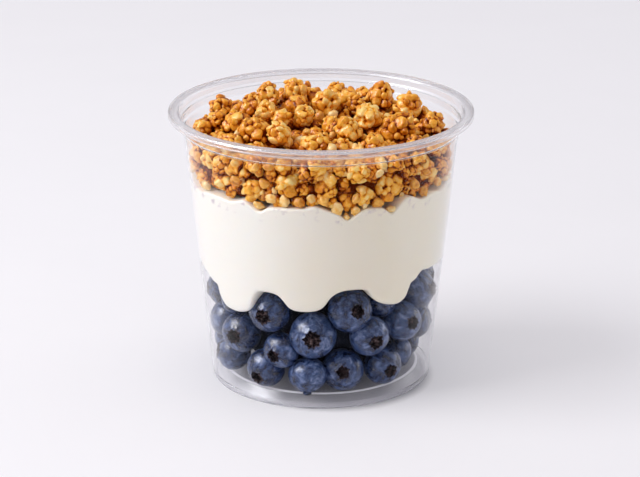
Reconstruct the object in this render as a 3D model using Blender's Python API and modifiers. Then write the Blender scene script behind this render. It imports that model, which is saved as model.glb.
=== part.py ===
"""Yogurt parfait in a clear plastic cup.

From the table up: a thermoformed round cup that stands on a foot ring and has a turned-down rim,
a layer of blueberries on its raised floor, a band of yogurt that sinks between the berries, and a
heap of granola clusters that stands a little proud of the rim.

Metres, +Z up. The origin is on the table, under the middle of the cup.
"""

import math
import random

import bmesh
import bpy

MM = 0.001
COLLECTION_NAME = "yogurt_parfait"
CLEARANCE = 0.3 * MM  # gap that touching pieces keep

# Cup: the sheet's inner and upper side, and the sheet's thickness
SHEET = 0.7 * MM
CUP_HEIGHT = 107.0 * MM
RIM_RADIUS = 58.5 * MM
MOUTH_RADIUS = 54.3 * MM
LIP_DROP = 2.5 * MM
LIP_ROUNDING = 0.7 * MM
STEP_DEPTHS = (3.4 * MM, 6.6 * MM)  # stacking steps, measured down from the rim
STEP_WIDTH = 0.9 * MM
STEP_FALL = 0.5 * MM
WALL_TOP_RADIUS = 52.2 * MM
WALL_FOOT_RADIUS = 42.1 * MM
WALL_FOOT_HEIGHT = 2.2 * MM
FLOOR_HEIGHT = 4.8 * MM
FLOOR_RADIUS = 38.8 * MM
FLOOR_ROUNDING = 0.8 * MM
FOOT_RING_RADII = (40.3 * MM, 41.2 * MM)
FOOT_CORNER_HEIGHT = 0.6 * MM  # of the slopes on both sides of the foot ring
FOOT_CORNER_WIDTHS = (0.5 * MM, 0.25 * MM)
MOUTH_CORNER = (0.4 * MM, 0.5 * MM)  # width and height of the slope where the rim starts
CUP_STEPS = 48
CUP_COLOUR = (0.92, 0.93, 0.95)

# Blueberries
BERRY_RADIUS = 7.9 * MM
BERRY_SPREAD = 0.8 * MM
ROW_HEIGHTS = (13.0 * MM, 25.6 * MM, 38.6 * MM)
ROW_COUNTS = (13, 14, 14)
INNER_RINGS = ((23.0 * MM, 9), (8.0 * MM, 3))  # radius and count on the top row
ROW_WANDER = 1.2 * MM
BERRY_TURN_WANDER = 0.03
BERRY_COLOUR = (0.05, 0.07, 0.16)
BERRY_HOLLOW = 4.5 * MM  # how deep the dips between berries go in from the wall
SADDLE_HEIGHT = 41.0 * MM  # lowest yogurt between the berries

# Yogurt
YOGURT_TOP = 82.0 * MM
YOGURT_WAVES = ((1.5 * MM, 3, 0.6), (1.1 * MM, 5, 2.0), (0.7 * MM, 11, 0.0))  # size, count, start
YOGURT_COLOUR = (0.90, 0.87, 0.80)

# Granola
HEAP_EDGE = 96.3 * MM
HEAP_DOME = 2.2 * MM
HEAP_LEAN = 2.6 * MM  # the far side of the heap is this much higher than its middle
HEAP_DIP = 3.0 * MM  # how far the dips between clusters go down
CLUSTER_RADIUS = 6.4 * MM
CLUSTER_SPREAD = 1.1 * MM
CLUSTER_COUNT = 44
CLUSTER_FIELD = 46.0 * MM  # clusters stand within this distance of the middle
CLUSTER_TURN_WANDER = 0.1
CLUSTER_LEVELS = (-2.5 * MM, 0.5 * MM)  # lowest and highest middle, from the heap's level
SIDE_CLUSTER_ROWS = (86.5 * MM, 93.5 * MM)
SIDE_CLUSTER_COUNT = 24
SIDE_CLUSTER_WANDER = 1.0 * MM
GRANOLA_HOLLOW = 2.0 * MM
PEAK_SPOT = (-9.0 * MM, 36.0 * MM)
PEAK_HEIGHT = 102.4 * MM  # of the middle of the cluster that stands highest
GRANOLA_COLOUR = (0.62, 0.34, 0.10)

# Fineness of the layers' surfaces
LAYER_CELLS = 19  # squares across each layer's upper and under side
BERRY_LAYER_ROWS = 11
YOGURT_ROWS = 3
GRANOLA_ROWS = 5
EDGE_SHARE = 1.0 / 6.0  # share of a layer's thickness in which its side returns to the wall
GOLDEN_ANGLE = math.pi * (3.0 - math.sqrt(5.0))


def clear_scene():
    """Remove every object that the scene starts with."""
    for old in list(bpy.data.objects):
        bpy.data.objects.remove(old, do_unlink=True)


def new_material(name, colour, roughness, transmission=0.0):
    """Make a Principled material; transmission above zero makes it clear."""
    material = bpy.data.materials.new(name)
    material.use_nodes = True
    shader = material.node_tree.nodes["Principled BSDF"]
    shader.inputs["Base Color"].default_value = (*colour, 1.0)
    shader.inputs["Roughness"].default_value = roughness
    shader.inputs["Transmission Weight"].default_value = transmission
    material.diffuse_color = (*colour, 1.0 - 0.7 * transmission)
    return material


def arc(centre, radius, start, end, steps):
    """Points round a centre from one angle to another, in degrees, both ends included."""
    points = []
    for step in range(steps + 1):
        angle = math.radians(start + (end - start) * step / steps)
        points.append((centre[0] + radius * math.cos(angle), centre[1] + radius * math.sin(angle)))
    return points


def wall_radius(height):
    """Radius of the cup's inner wall below the stacking steps."""
    low, high = WALL_FOOT_HEIGHT, CUP_HEIGHT - STEP_DEPTHS[1] - STEP_FALL
    share = (height - low) / (high - low)
    return WALL_FOOT_RADIUS + (WALL_TOP_RADIUS - WALL_FOOT_RADIUS) * share


def cup_path():
    """The sheet's inner and upper side, from the floor's middle to the lip's lower edge."""
    points = [(0.0, FLOOR_HEIGHT)]
    points += arc((FLOOR_RADIUS, FLOOR_HEIGHT - FLOOR_ROUNDING), FLOOR_ROUNDING, 90, 10, 1)
    corner_height = SHEET + FOOT_CORNER_HEIGHT
    points.append((FOOT_RING_RADII[0] - FOOT_CORNER_WIDTHS[0], corner_height))
    points += [(radius, SHEET) for radius in FOOT_RING_RADII]
    points.append((WALL_FOOT_RADIUS - FOOT_CORNER_WIDTHS[1], corner_height))
    points.append((WALL_FOOT_RADIUS, WALL_FOOT_HEIGHT))
    radius = WALL_TOP_RADIUS
    for depth in reversed(STEP_DEPTHS):
        height = CUP_HEIGHT - depth
        points.append((radius, height - STEP_FALL))
        radius += STEP_WIDTH
        points.append((radius, height))
    points.append((MOUTH_RADIUS, CUP_HEIGHT - MOUTH_CORNER[1]))
    points.append((MOUTH_RADIUS + MOUTH_CORNER[0], CUP_HEIGHT))
    corner = (RIM_RADIUS - LIP_ROUNDING, CUP_HEIGHT - LIP_ROUNDING)
    points += arc(corner, LIP_ROUNDING, 90, 0, 2)
    points.append((RIM_RADIUS, CUP_HEIGHT - LIP_DROP))
    return points


def offset_path(path, distance):
    """The path moved sideways, to the right of its direction, with mitred corners."""
    moved = []
    for index, (x, z) in enumerate(path):
        normals = []
        for first in (index - 1, index):
            if 0 <= first < len(path) - 1:
                dx = path[first + 1][0] - path[first][0]
                dz = path[first + 1][1] - path[first][1]
                length = math.hypot(dx, dz)
                normals.append((dz / length, -dx / length))
        nx = sum(normal[0] for normal in normals) / len(normals)
        nz = sum(normal[1] for normal in normals) / len(normals)
        scale = distance / (nx * nx + nz * nz)
        moved.append((x + nx * scale, z + nz * scale))
    return moved


def sheet_section(path, thickness):
    """Closed outline of a bent sheet: along the path, and back along its other side."""
    return path + list(reversed(offset_path(path, thickness)))


def turned(name, profile, steps):
    """Turn a profile of (radius, height) points round the Z axis with a Screw modifier."""
    mesh = bpy.data.meshes.new(name)
    edges = [(index, index + 1) for index in range(len(profile) - 1)]
    mesh.from_pydata([(radius, 0.0, height) for radius, height in profile], edges, [])
    item = bpy.data.objects.new(name, mesh)
    bpy.data.collections[COLLECTION_NAME].objects.link(item)
    screw = item.modifiers.new("turn", "SCREW")
    screw.axis = "Z"
    screw.steps = steps
    screw.render_steps = steps
    screw.use_merge_vertices = True
    screw.merge_threshold = 0.00001
    screw.use_smooth_shade = True
    return item


def build_cup():
    """Clear cup: raised floor, foot ring, tapered wall, two stacking steps and turned-down lip."""
    cup = turned("cup", sheet_section(cup_path(), SHEET), CUP_STEPS)
    cup.data.materials.append(new_material("cup", CUP_COLOUR, 0.05, transmission=1.0))
    return cup


def cut_block(cells, rows):
    """A block from -1 to 1 in X and Y and from 0 to 1 in Z, cut into cells and rows."""
    block = bmesh.new()
    bmesh.ops.create_cube(block, size=2.0)
    for vertex in block.verts:
        vertex.co.z = 0.5 + 0.5 * vertex.co.z
    cuts = [((2.0 * cell / cells - 1.0, 0.0, 0.0), (1.0, 0.0, 0.0)) for cell in range(1, cells)]
    cuts += [((0.0, 2.0 * cell / cells - 1.0, 0.0), (0.0, 1.0, 0.0)) for cell in range(1, cells)]
    cuts += [((0.0, 0.0, row / rows), (0.0, 0.0, 1.0)) for row in range(1, rows)]
    for place, direction in cuts:
        everything = block.verts[:] + block.edges[:] + block.faces[:]
        bmesh.ops.bisect_plane(block, geom=everything, plane_co=place, plane_no=direction)
    return block


def round_place(x, y):
    """Turn and share of the radius for a place in a square, which becomes a round disc."""
    across = max(abs(x), abs(y))
    if across == 0.0:
        return 0.0, 0.0
    if abs(x) >= abs(y):
        turn = 0.25 * math.pi * y / x
        return (turn if x > 0.0 else turn + math.pi), across
    turn = 0.5 * math.pi - 0.25 * math.pi * x / y
    return (turn if y > 0.0 else turn + math.pi), across


def layer(name, material, rows, underside, topside, side_radius):
    """Shape a cut block into a round layer.

    underside and topside give a height for a turn and a share of the radius, and side_radius gives
    the radius for a turn, a height and the share of the layer's thickness at that height.
    """
    block = cut_block(LAYER_CELLS, rows)
    for vertex in block.verts:
        turn, across = round_place(vertex.co.x, vertex.co.y)
        up = vertex.co.z
        low = underside(turn, across)
        height = low + (topside(turn, across) - low) * up
        radius = across * side_radius(turn, height, up)
        vertex.co = (radius * math.cos(turn), radius * math.sin(turn), height)
    # Layers that touch are split along the same diagonals, so that their gap stays even.
    bmesh.ops.triangulate(block, faces=block.faces[:], quad_method="SHORT_EDGE")
    mesh = bpy.data.meshes.new(name)
    block.to_mesh(mesh)
    block.free()
    mesh.shade_smooth()
    mesh.materials.append(material)
    item = bpy.data.objects.new(name, mesh)
    bpy.data.collections[COLLECTION_NAME].objects.link(item)
    return item


def angle_between(first, second):
    """Smallest signed angle from one turn to another."""
    return (first - second + math.pi) % (2.0 * math.pi) - math.pi


def berry_ring(height, radius, count, start, chance):
    """Balls as (turn, distance from the axis, height, radius) round one ring."""
    balls = []
    for index in range(count):
        size = BERRY_RADIUS + chance.uniform(-BERRY_SPREAD, BERRY_SPREAD)
        level = height + chance.uniform(-ROW_WANDER, ROW_WANDER)
        distance = wall_radius(level) - size if radius is None else radius
        wander = chance.uniform(-BERRY_TURN_WANDER, BERRY_TURN_WANDER)
        turn = start + 2.0 * math.pi * index / count + wander
        balls.append((turn, distance, level, size))
    return balls


def berries_at_wall():
    """Three rows of berries against the wall, each row turned by half a berry."""
    chance = random.Random(4)
    rows = []
    for row, (height, count) in enumerate(zip(ROW_HEIGHTS, ROW_COUNTS)):
        rows.append(berry_ring(height, None, count, row * math.pi / count, chance))
    return rows


def berries_inside():
    """The top row's berries away from the wall."""
    chance = random.Random(5)
    balls = []
    for radius, count in INNER_RINGS:
        balls += berry_ring(ROW_HEIGHTS[-1], radius, count, 0.0, chance)
    return balls


def ball_height(ball, turn, distance):
    """Top of a ball at a place; towards the wall its crest runs straight out."""
    ball_turn, ball_distance, level, size = ball
    around = distance * math.sin(angle_between(turn, ball_turn))
    inwards = min(0.0, distance * math.cos(angle_between(turn, ball_turn)) - ball_distance)
    rest = size * size - around * around - inwards * inwards
    return level + math.sqrt(rest) if rest > 0.0 else 0.0


def ball_reach(ball, turn, height):
    """Distance from the axis to a ball's outer side at a turn and a height."""
    ball_turn, ball_distance, level, size = ball
    apart = angle_between(turn, ball_turn)
    along = ball_distance * math.cos(apart)
    aside = ball_distance * math.sin(apart)
    rest = size * size - aside * aside - (height - level) ** 2
    return along + math.sqrt(rest) if rest > 0.0 and along > 0.0 else 0.0


def berry_top(balls):
    """Height of the berries' upper side, never lower than the saddles between them."""

    def height(turn, across):
        distance = across * wall_radius(SADDLE_HEIGHT)
        return max([SADDLE_HEIGHT] + [ball_height(ball, turn, distance) for ball in balls])

    return height


def bumpy_side(balls, hollow, fade_low, fade_high):
    """Outer side that follows the balls; it returns to the wall at the ends that fade."""

    def radius(turn, height, up):
        wall = wall_radius(height) - CLEARANCE
        reach = max([wall - hollow] + [ball_reach(ball, turn, height) for ball in balls])
        inset = wall - min(wall, reach)
        if fade_high:
            inset *= min(1.0, (1.0 - up) / EDGE_SHARE)
        if fade_low:
            inset *= min(1.0, up / EDGE_SHARE)
        return wall - inset

    return radius


def raised(surface, gap):
    """A surface moved up by a gap."""
    return lambda turn, across: surface(turn, across) + gap


def yogurt_top(turn, across):
    """The yogurt's wavy upper side, under the granola."""
    waves = sum(size * math.sin(count * turn + start) for size, count, start in YOGURT_WAVES)
    return YOGURT_TOP + waves * across


def smooth_side(turn, height, up):
    """Side that follows the cup's wall."""
    return wall_radius(height) - CLEARANCE


def granola_clusters():
    """Clusters on the heap's top, spread like a sunflower's seeds, with one peak at the back."""
    chance = random.Random(8)
    clusters = []
    for index in range(CLUSTER_COUNT):
        distance = CLUSTER_FIELD * math.sqrt((index + 0.5) / CLUSTER_COUNT)
        wander = chance.uniform(-CLUSTER_TURN_WANDER, CLUSTER_TURN_WANDER)
        turn = index * GOLDEN_ANGLE + wander
        size = CLUSTER_RADIUS + chance.uniform(-CLUSTER_SPREAD, CLUSTER_SPREAD)
        level = heap_level(turn, distance) + chance.uniform(*CLUSTER_LEVELS)
        clusters.append((turn, distance, level, size))
    peak_turn = math.atan2(PEAK_SPOT[1], PEAK_SPOT[0])
    clusters.append((peak_turn, math.hypot(*PEAK_SPOT), PEAK_HEIGHT, CLUSTER_RADIUS))
    return clusters


def side_clusters():
    """Clusters that press against the wall below the heap's edge."""
    chance = random.Random(9)
    clusters = []
    for row, height in enumerate(SIDE_CLUSTER_ROWS):
        for index in range(SIDE_CLUSTER_COUNT):
            turn = 2.0 * math.pi * (index + 0.5 * row) / SIDE_CLUSTER_COUNT
            level = height + chance.uniform(-SIDE_CLUSTER_WANDER, SIDE_CLUSTER_WANDER)
            size = CLUSTER_RADIUS + chance.uniform(-CLUSTER_SPREAD, CLUSTER_SPREAD)
            clusters.append((turn, wall_radius(level) - size, level, size))
    return clusters


def heap_level(turn, distance):
    """The heap's general height without its clusters."""
    share = distance / wall_radius(HEAP_EDGE)
    lean = HEAP_LEAN * math.sin(turn) * share
    return HEAP_EDGE + HEAP_DOME * (1.0 - share * share) + lean


def heap_top(clusters):
    """Height of the heap's upper side, clusters included."""

    def height(turn, across):
        distance = across * wall_radius(HEAP_EDGE)
        level = heap_level(turn, distance) - HEAP_DIP
        for ball_turn, ball_distance, ball_level, size in clusters:
            around = distance * math.sin(angle_between(turn, ball_turn))
            out = distance * math.cos(angle_between(turn, ball_turn)) - ball_distance
            rest = size * size - around * around - out * out
            if rest > 0.0:
                level = max(level, ball_level + math.sqrt(rest))
        return level

    return height


def build_blueberry_layer():
    """Blueberries three deep, as one solid out to the berries' round sides."""
    material = new_material("blueberry_layer", BERRY_COLOUR, 0.45)
    rows = berries_at_wall()
    crest = berry_top(rows[-1] + berries_inside())
    balls = [ball for row in rows for ball in row]
    bottom = FLOOR_HEIGHT + CLEARANCE
    side = bumpy_side(balls, BERRY_HOLLOW, fade_low=False, fade_high=True)
    layer("blueberry_layer", material, BERRY_LAYER_ROWS, lambda turn, across: bottom, crest, side)
    return crest


def build_yogurt_layer(crest):
    """Yogurt that fills the cup from the berries to the granola."""
    material = new_material("yogurt_layer", YOGURT_COLOUR, 0.35)
    underside = raised(crest, CLEARANCE)
    layer("yogurt_layer", material, YOGURT_ROWS, underside, yogurt_top, smooth_side)


def build_granola_topping():
    """Granola heap with clusters on top and against the wall."""
    material = new_material("granola_topping", GRANOLA_COLOUR, 0.5)
    side = bumpy_side(side_clusters(), GRANOLA_HOLLOW, fade_low=True, fade_high=False)
    underside = raised(yogurt_top, CLEARANCE)
    layer("granola_topping", material, GRANOLA_ROWS, underside, heap_top(granola_clusters()), side)


def main():
    clear_scene()
    collection = bpy.data.collections.new(COLLECTION_NAME)
    bpy.context.scene.collection.children.link(collection)
    build_cup()
    crest = build_blueberry_layer()
    build_yogurt_layer(crest)
    build_granola_topping()


main()
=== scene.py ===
"""Looks of the yogurt parfait: a clear cup with blueberries, yogurt and granola clusters."""

import math
import random

import bmesh
import bpy
import numpy as np
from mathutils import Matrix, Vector, noise


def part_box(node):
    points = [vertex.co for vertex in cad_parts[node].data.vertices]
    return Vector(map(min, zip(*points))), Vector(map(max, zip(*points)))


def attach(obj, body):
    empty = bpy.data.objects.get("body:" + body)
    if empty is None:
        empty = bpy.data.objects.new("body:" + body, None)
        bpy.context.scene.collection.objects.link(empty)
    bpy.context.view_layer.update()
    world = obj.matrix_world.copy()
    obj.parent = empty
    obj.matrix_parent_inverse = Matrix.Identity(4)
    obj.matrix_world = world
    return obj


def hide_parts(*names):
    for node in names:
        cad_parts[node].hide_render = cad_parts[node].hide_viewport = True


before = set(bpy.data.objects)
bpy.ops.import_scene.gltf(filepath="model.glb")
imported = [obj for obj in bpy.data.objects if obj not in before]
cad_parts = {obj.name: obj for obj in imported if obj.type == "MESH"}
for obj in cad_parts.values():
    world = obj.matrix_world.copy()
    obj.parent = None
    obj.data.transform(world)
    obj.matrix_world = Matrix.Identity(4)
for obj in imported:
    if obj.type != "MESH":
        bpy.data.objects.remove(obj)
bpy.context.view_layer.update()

cup_low, cup_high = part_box("cup")
CUP_HEIGHT = 107.0
MM = (cup_high[2] - cup_low[2]) / CUP_HEIGHT  # a millimetre, the unit of lengths below
TAU = 2.0 * math.pi

# Cup, by its sheet's inner and upper side
SHEET = 0.7
RIM_RADIUS = 58.5
MOUTH_RADIUS = 54.3
MOUTH_ROUNDING = 1.4
LIP_DROP = 2.5
LIP_ROUNDING = 1.3
LIP_SHEET = 1.1  # thickness beyond the radius where the lip starts
LIP_START = 57.0
LIP_TOP = 0.9  # depth of the lip's milky top, above its clearer side
LIP_FOOT = 0.7  # height of its milky lower edge
STEP_DEPTHS = (3.4, 6.6)
STEP_WIDTH = 0.9
STEP_FALL = 0.5
STEP_ROUNDING = 0.7
WALL_TOP = (52.2, 99.9)  # radius and height
WALL_FOOT = (42.1, 2.2)
FOOT_RADII = (40.2, 41.8)  # where the foot ring stands
FLOOR_HEIGHT = 4.8
FLOOR_RADIUS = 37.2
CUP_STEPS = 256
EDGE_SLOPE = 5.0  # how fast the clear wall's shine fades from its outline
# Plastics of the cup, in the order of cup_zone: name, refraction, roughness, share of milk,
# shine at a slant, glow and coat
PLASTICS = (
    ("clear_plastic", 1.1, 0.02, 0.0, 0.95, 0.0, 0.0),
    ("thick_plastic", 1.33, 0.16, 0.05, 0.0, 0.0, 0.0),
    # The floor's edge: its milk and glow paint a bright highlight line there.
    ("plastic_edge_glow", 1.4, 0.20, 0.70, 0.0, 0.18, 0.0),
    ("lip_plastic", 1.28, 0.13, 0.15, 0.0, 0.0, 1.0),
    ("foot_plastic", 1.28, 0.18, 0.15, 0.0, 0.0, 0.0),
)

# Blueberries that show at the front: turn from the front, height, diameter, gap to the wall,
# and the crown's turn and tilt
FRONT_BERRIES = (
    (-86, 35.4, 15.8, 0.0, -74, 0), (-31.2, 36.2, 16.3, 0.0, -22, 0),
    (17, 38.0, 17.2, 0.1, 24, 13), (45, 37.0, 13.6, 7.5, 70, 40), (78, 36.6, 16.6, 0.0, 66, 8),
    (-86, 22.6, 15.0, 0.0, -104, 20), (-57, 23.0, 15.8, 0.1, -27, 3),
    (-24.4, 20.8, 14.2, 0.4, -32, -6), (-5, 27.7, 18.0, 0.1, -2, 7), (30, 26.0, 15.7, 0.1, 23, -3),
    (57.5, 27.6, 15.4, 0.2, 36, 10), (84, 22.2, 14.6, 0.2, 104, 10),
    (-72, 11.6, 14.8, 0.1, -78, 10), (-36.5, 11.7, 15.2, 0.1, -33, -18),
    (-8.1, 11.6, 15.0, 0.1, -3, -68), (14.2, 12.6, 16.2, 1.6, 1, 11),
    (41.5, 12.0, 15.0, 0.1, 28, -2), (66, 11.8, 13.2, 4.6, 80, -30),
    (92, 11.8, 14.0, 4.0, 120, 10), (-63, 36.4, 13.4, 2.5, -100, 20),
)
# Rows of berries round the rest of the wall: height, first and last turn, count
BACK_ROWS = ((12.4, 111, 265, 7), (25.6, 101, 254, 7), (38.6, 99, 252, 7))
# Rings of berries inside: height, distance from the middle, count
INNER_ROWS = ((12.6, 19.5, 7), (25.8, 20.0, 7), (37.5, 19.5, 7), (37.8, 3.0, 1))
BERRY_DIAMETERS = (14.0, 16.8)
JUICE_DROP = (-8.0, 38.0, 4.9)  # turn, radius and height of a drop on the floor's edge
BERRY_SEGMENTS = 46

# Yogurt: its lower and upper border on the wall, as turn from the front and height
LOWER_BORDER = (
    (-80, 48.4), (-72.1, 46.9), (-68.5, 46.2), (-61.3, 44.1), (-57.6, 43.7), (-56.8, 40.7),
    (-54.7, 38.1), (-51.4, 36.2), (-45.8, 35.9), (-40.5, 36.6), (-36.3, 38.5), (-34.7, 41.1),
    (-32.8, 44.6), (-29.9, 46.8), (-24.8, 47.1), (-20.5, 46.3), (-17.9, 44.3), (-15.4, 41.8),
    (-12.3, 40.7), (-8.2, 40.5), (-3.2, 40.9), (-0.2, 41.8), (1.9, 43.4), (3.3, 45.2), (5.3, 47.1),
    (9.3, 48.8), (12.3, 49.2), (15.9, 49.2), (21.7, 48.4), (23.4, 46.4), (25.8, 44.1),
    (29.4, 42.2), (34.4, 40.8), (39.0, 40.3), (42.3, 41.2), (44.2, 42.8), (45.3, 45.3),
    (46.1, 46.9), (49.8, 48.1), (52.4, 49.9), (54.9, 50.6), (59.1, 50.0), (65, 49.6), (72, 49.3),
    (80, 49.0), (90, 48.5),
)
UPPER_BORDER = (
    (-78, 81.8), (-65, 80.6), (-58, 82.0), (-50, 82.2), (-42, 81.8), (-35, 83.6), (-30.5, 81.6),
    (-27, 79.8), (-23, 82.2), (-14, 82.6), (-8, 82.8), (-3, 83.8), (4, 81.6), (8, 80.4),
    (11, 77.6), (14, 79.4), (19, 82.0), (25, 82.0), (29, 80.6), (31.5, 78.0), (34, 80.8),
    (40, 84.2), (45, 82.6), (49, 81.2), (55, 82.7), (63, 81.6), (75, 83.2),
)
# The same borders round the back: first and last turn, arches and lobes, the heights of both,
# how far those wander, how far their sides droop, and the seed
LOWER_BACK = (92.6, 271.1, 14, (47.4, 39.8), 1.5, 1.0, 31)
UPPER_BACK = (82, 276, 18, (80.4, 82.9), 0.9, 0.35, 32)
UPPER_BLUR = ((-2, 0.10), (-1, 0.22), (0, 0.36), (1, 0.22), (2, 0.10))  # steps and weight
YOGURT_TURNS = 320
YOGURT_REACH = 0.22  # how far it reaches into the wall
YOGURT_MIDDLE = (47.5, 82.0)  # heights of its lower and upper side in the middle
YOGURT_ROUNDINGS = (1.5, 1.0)  # of its lower and upper edge
YOGURT_SIDE_ROWS = 46

# Granola clusters on the heap: place across and away, height of the middle, diameter
HEAP_CLUSTERS = (
    (-39.0, 21.9, 100.5, 10.8), (-45.0, 3.9, 98.0, 7.4), (-32.5, 0.8, 101.0, 10.4),
    (-38.6, 6.0, 99.5, 9.4), (-21.2, 27.5, 104.0, 10.8), (-20.8, 7.3, 103.6, 9.4),
    (-15.4, 0.2, 103.2, 7.6), (-29.0, 17.7, 100.6, 9.0), (-10.3, 30.4, 105.0, 10.4),
    (-25.2, -11.4, 100.6, 11.2), (-15.7, -15.7, 100.8, 10.6), (-6.9, 3.0, 103.0, 10.4),
    (-9.0, 17.0, 102.6, 10.0), (-2.3, -23.2, 99.0, 10.6), (1.9, 17.5, 103.2, 12.0),
    (10.5, 27.7, 102.4, 9.6), (22.6, 25.1, 104.2, 11.6), (14.4, 19.9, 101.4, 9.4),
    (17.5, 3.2, 101.8, 12.2), (33.8, 15.7, 102.2, 11.4), (42.3, -0.2, 100.0, 10.2),
    (29.1, -9.1, 101.2, 13.0), (9.7, -11.9, 100.8, 11.6), (3.9, -4.1, 100.8, 7.4),
    (20.0, -22.3, 98.8, 10.0), (-33.5, -18.0, 97.6, 9.0), (36.5, -20.0, 97.4, 9.6),
)
# Granola clusters behind the wall: turn from the front, height, diameter
WALL_CLUSTERS = (
    (-73, 92.6, 9.5), (-51, 93.6, 8.6), (-50, 87.6, 9.4), (-32, 87.2, 12.0), (-15, 91.6, 12.2),
    (2, 90.8, 12.2), (16, 95.6, 9.2), (33, 88.6, 13.4), (56, 91.4, 12.2), (72, 88.6, 9.0),
    (-68, 84.6, 8.8), (-31, 97.4, 8.4), (-1, 99.0, 8.0), (34, 97.8, 8.6), (20, 86.4, 8.0),
)
# Single grains near the yogurt: turn, height, length
WALL_GRAINS = (
    (-39, 89.9, 4.6), (-39, 97.5, 4.2), (-29, 96.7, 5.0), (-22, 85.4, 5.0), (-16, 84.8, 5.4),
    (-9, 84.7, 5.0), (-4, 86.6, 4.2), (-28, 82.0, 4.6), (1, 85.8, 5.0), (7, 82.8, 5.4),
    (15, 86.0, 4.6), (19, 83.6, 3.8), (15, 81.1, 4.2), (25, 83.5, 5.0), (44, 88.0, 5.0),
    (51, 83.5, 4.6), (32, 80.0, 4.2), (11, 79.1, 3.5), (-61, 83.6, 5.0), (62, 85.0, 4.8),
)
# Kinds of cluster: diameter, and how much longer than wide
CLUSTER_KINDS = (
    (11.4, 1.00), (11.4, 1.22), (11.4, 1.05), (11.4, 1.30), (11.4, 1.12), (11.4, 1.00),
    (7.6, 1.10), (7.6, 1.30), (5.0, 1.15),
)
CLUSTER_GRID = 0.36  # cell of the grid a cluster is fused on
CLUSTER_THINNING = 0.40
CLUSTER_SWELL = 0.30  # how far a cluster's outline goes in and out
CLUSTER_BODY = 0.78  # share of the outline that the body under the knobs fills
CLUSTER_FIT = (0.74, 1.30)  # least and greatest size of a cluster as a share of its kind's
KNOB_DEPTH = 0.72  # how deep a knob's middle lies below its top, in radii
FLAKE_SHARE = 0.30
KNOB_CHIPS = (6, 0.55, 0.85)  # flat sides, and how far from the middle they lie
OAT_CHIPS = (4, 0.70, 0.95)
BACK_OATS, SUNK_OATS, HEAP_OATS = 46, 60, 60  # loose ones: behind, between clusters, on top
# Knobs of a cluster, the largest first: radius from and to, spacing, lowest share of the
# outline's radius, and how many are tried
KNOB_SIZES = (
    (1.75, 2.75, 0.78, 0.93, 60), (1.20, 1.75, 0.76, 0.91, 200), (0.80, 1.15, 0.78, 0.90, 80),
)
# Clusters that fill up the heap: tries, spacing, diameters, reach from the middle, and how deep
# they sink at the back and elsewhere
HEAP_FILL = (
    (3000, 0.40, (8.0, 12.0), 51.0, (2.0, 3.5), (4.5, 6.5)),
    (2500, 0.36, (5.0, 7.6), 50.0, (3.4, 5.4), (3.4, 5.4)),
)
HEAP_SQUARE = 46.0  # half the side of the square they are drawn from
HEAP_BACK = 34.0  # the back starts here
HEAP_RISE = (99.6, 1.6, 2.4)  # level of the heap at its edge, its dome, and its rise to the back
HEAP_EDGE = 101.0  # height up to which clusters are flattened against the wall
# Clusters that fill up the wall: tries, spacing, diameters
WALL_FILL = ((3000, 0.42, (7.5, 12.0)), (2500, 0.37, (4.4, 6.4)))
# Bodies under the visible pieces, turned from radius and height
GRANOLA_CORE = ((30.0, 81.2), (44.0, 82.0), (46.6, 84.0), (46.8, 88.0), (46.2, 91.0),
                (43.0, 93.2), (34.0, 94.0), (18.0, 94.6), (2.0, 94.8))
GRANOLA_CORE_LUMPS = 2.6
BERRY_CORE = ((0.0, 6.0), (20.0, 6.5), (28.0, 12.0), (31.0, 24.0), (29.0, 36.0), (20.0, 41.0),
              (0.0, 41.5))

# Seeds of the random draws
BERRY_SEED, KIND_SEED, CLUSTER_SEED, OAT_SEED, CORE_SEED = 21, 60, 51, 71, 5

# Studio: the light comes from a window on the left, and a reflector stands on the right.
# Their distances and sizes are in metres, their powers in watts
WINDOW_TURNS = (-76.0, 41.0)  # azimuth and elevation, in degrees
WINDOW_WATTS, PANE_WATTS, REFLECTOR_WATTS = 12.4, 36.0, 3.9
WORLD_LOW, WORLD_HIGH = (0.53, 0.52, 0.555), (1.00, 0.985, 1.03)
WORLD_STRENGTH = 0.70
# Painted light: the tabletop glows to lift its shade, except under the cup, where a painted shadow
# is left.
TABLE_GLOW = 0.27
TABLE_GLOW_SLOPE = 0.22  # share of the glow that is gained in a millimetre
# Painted shadow under the cup: within FOOT_SHADE of FOOT_SHADE_PLACE, set off the cup's middle,
# the tabletop does not glow.
FOOT_SHADE = 36.0  # radius within which the tabletop does not glow
FOOT_SHADE_PLACE = (4.0, -5.0)
CAMERA_PLACE = (-0.43, -929.0, 375.04)
CAMERA_DIP = 19.055  # degrees below level
CAMERA_LENS = 142.14


def smooth_step(low, high, value):
    share = np.clip((value - low) / (high - low), 0.0, 1.0)
    return share * share * (3.0 - 2.0 * share)


def wall_radius(height):
    """Radius of the cup's inner wall below its steps."""
    share = (height - WALL_FOOT[1]) / (WALL_TOP[1] - WALL_FOOT[1])
    return WALL_FOOT[0] + (WALL_TOP[0] - WALL_FOOT[0]) * share


def around(turn_degrees, radius, height):
    """Point at a turn from the front (rightwards), a radius and a height."""
    turn = math.radians(turn_degrees)
    return np.array((radius * math.sin(turn), -radius * math.cos(turn), height))


def new_object(name, data):
    item = bpy.data.objects.new(name, data)
    bpy.context.scene.collection.objects.link(item)
    return item


def add_mesh(name, points, faces, material, marks=None):
    """A smooth mesh from points in millimetres, with point attributes."""
    mesh = bpy.data.meshes.new(name)
    mesh.from_pydata((np.asarray(points) * MM).tolist(), [], [tuple(face) for face in faces])
    for mark, values in (marks or {}).items():
        attribute = mesh.attributes.new(mark, "FLOAT", "POINT")
        attribute.data.foreach_set("value", np.asarray(values, dtype=np.float32))
    mesh.shade_smooth()
    mesh.materials.append(material)
    return new_object(name, mesh)


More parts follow.
